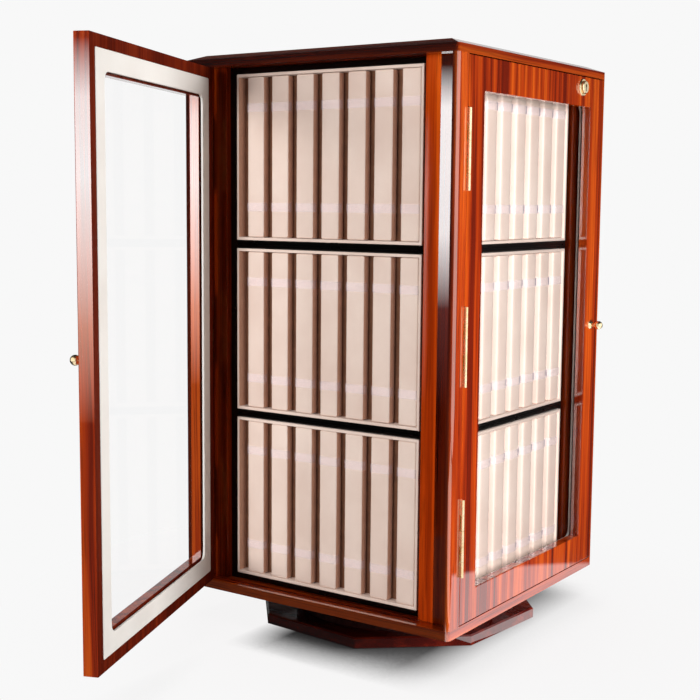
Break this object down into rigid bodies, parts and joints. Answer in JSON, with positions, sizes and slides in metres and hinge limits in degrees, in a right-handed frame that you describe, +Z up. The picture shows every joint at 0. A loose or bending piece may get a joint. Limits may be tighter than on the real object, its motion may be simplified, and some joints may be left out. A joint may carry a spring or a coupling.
{
  "type": "watch display cabinet",
  "caption": "Revolving wooden display cabinet with glazed lockable doors on every side and trays of covered slats for watches, on an octagonal base plate.",
  "frame": {"origin": "on the floor under the felt of the base plate, on the turning axis", "axes": "+Z up along the turning axis; the side with the open door faces -Y; +X to the right of that side"},
  "size_m": [0.49, 0.8556, 0.822],
  "materials": {
    "rosewood": "high-gloss lacquer",
    "dark_wood": "high-gloss lacquer",
    "black_board": "black lacquer",
    "cream_leatherette": "matte grain",
    "clear_band": "clear",
    "glass": "clear float glass",
    "brass": "polished",
    "steel": "zinc plated",
    "felt": "felt"
  },
  "bodies": {
    "base": {"base_plate": "dark_wood", "base_felt": "felt", "bearing_lower_ring": "steel", "bearing_balls": "steel"},
    "cabinet": {"bearing_upper_ring": "steel", "turntable_block": "black_board", "bottom_board": "rosewood", "top_board": "rosewood", "side_battens": "rosewood", "tray_column": "black_board", "clear_bands": "clear_band", "cabinet_hinge_leaves": "brass", "corner_post_front_left": "rosewood", "corner_post_front_right": "rosewood", "corner_post_back_right": "rosewood", "corner_post_back_left": "rosewood", "front_tray_bottom": "cream_leatherette", "front_tray_middle": "cream_leatherette", "front_tray_top": "cream_leatherette", "right_tray_bottom": "cream_leatherette", "right_tray_middle": "cream_leatherette", "right_tray_top": "cream_leatherette", "back_tray_bottom": "cream_leatherette", "back_tray_middle": "cream_leatherette", "back_tray_top": "cream_leatherette", "left_tray_bottom": "cream_leatherette", "left_tray_middle": "cream_leatherette", "left_tray_top": "cream_leatherette", "front_tray_slats": "cream_leatherette", "right_tray_slats": "cream_leatherette", "back_tray_slats": "cream_leatherette", "left_tray_slats": "cream_leatherette"},
    "front_door": {"front_door_frame": "rosewood", "front_door_glass": "glass", "front_door_lining": "cream_leatherette", "front_door_hinge_leaves": "brass", "front_door_knob": "brass", "front_door_lock": "brass"},
    "front_bolt": {"front_lock_bolt": "brass"},
    "right_door": {"right_door_frame": "rosewood", "right_door_glass": "glass", "right_door_lining": "cream_leatherette", "right_door_hinge_leaves": "brass", "right_door_knob": "brass", "right_door_lock": "brass"},
    "right_bolt": {"right_lock_bolt": "brass"},
    "back_door": {"back_door_frame": "rosewood", "back_door_glass": "glass", "back_door_lining": "cream_leatherette", "back_door_hinge_leaves": "brass", "back_door_knob": "brass", "back_door_lock": "brass"},
    "back_bolt": {"back_lock_bolt": "brass"},
    "left_door": {"left_door_frame": "rosewood", "left_door_glass": "glass", "left_door_lining": "cream_leatherette", "left_door_hinge_leaves": "brass", "left_door_knob": "brass", "left_door_lock": "brass"},
    "left_bolt": {"left_lock_bolt": "brass"}
  },
  "joints": [
    {"name": "turntable", "type": "hinge", "parent": "base", "child": "cabinet", "pos_m": [0, 0, 0.0215], "axis": [0, 0, 1], "continuous": true},
    {"name": "front_door_hinge", "type": "hinge", "parent": "cabinet", "child": "front_door", "pos_m": [-0.197, -0.2276, 0.4325], "axis": [0, 0, 1], "range_deg": [-96.5, 68.5]},
    {"name": "front_bolt_slide", "type": "slide", "parent": "front_door", "child": "front_bolt", "axis": [0, 0, 1], "range_m": [0, 0.007]},
    {"name": "right_door_hinge", "type": "hinge", "parent": "cabinet", "child": "right_door", "pos_m": [0.2276, -0.197, 0.4325], "axis": [0, 0, 1], "range_deg": [-165, 0]},
    {"name": "right_bolt_slide", "type": "slide", "parent": "right_door", "child": "right_bolt", "axis": [0, 0, 1], "range_m": [0, 0.007]},
    {"name": "back_door_hinge", "type": "hinge", "parent": "cabinet", "child": "back_door", "pos_m": [0.197, 0.2276, 0.4325], "axis": [0, 0, 1], "range_deg": [-165, 0]},
    {"name": "back_bolt_slide", "type": "slide", "parent": "back_door", "child": "back_bolt", "axis": [0, 0, 1], "range_m": [0, 0.007]},
    {"name": "left_door_hinge", "type": "hinge", "parent": "cabinet", "child": "left_door", "pos_m": [-0.2276, 0.197, 0.4325], "axis": [0, 0, 1], "range_deg": [-165, 0]},
    {"name": "left_bolt_slide", "type": "slide", "parent": "left_door", "child": "left_bolt", "axis": [0, 0, 1], "range_m": [0, 0.007]}
  ]
}
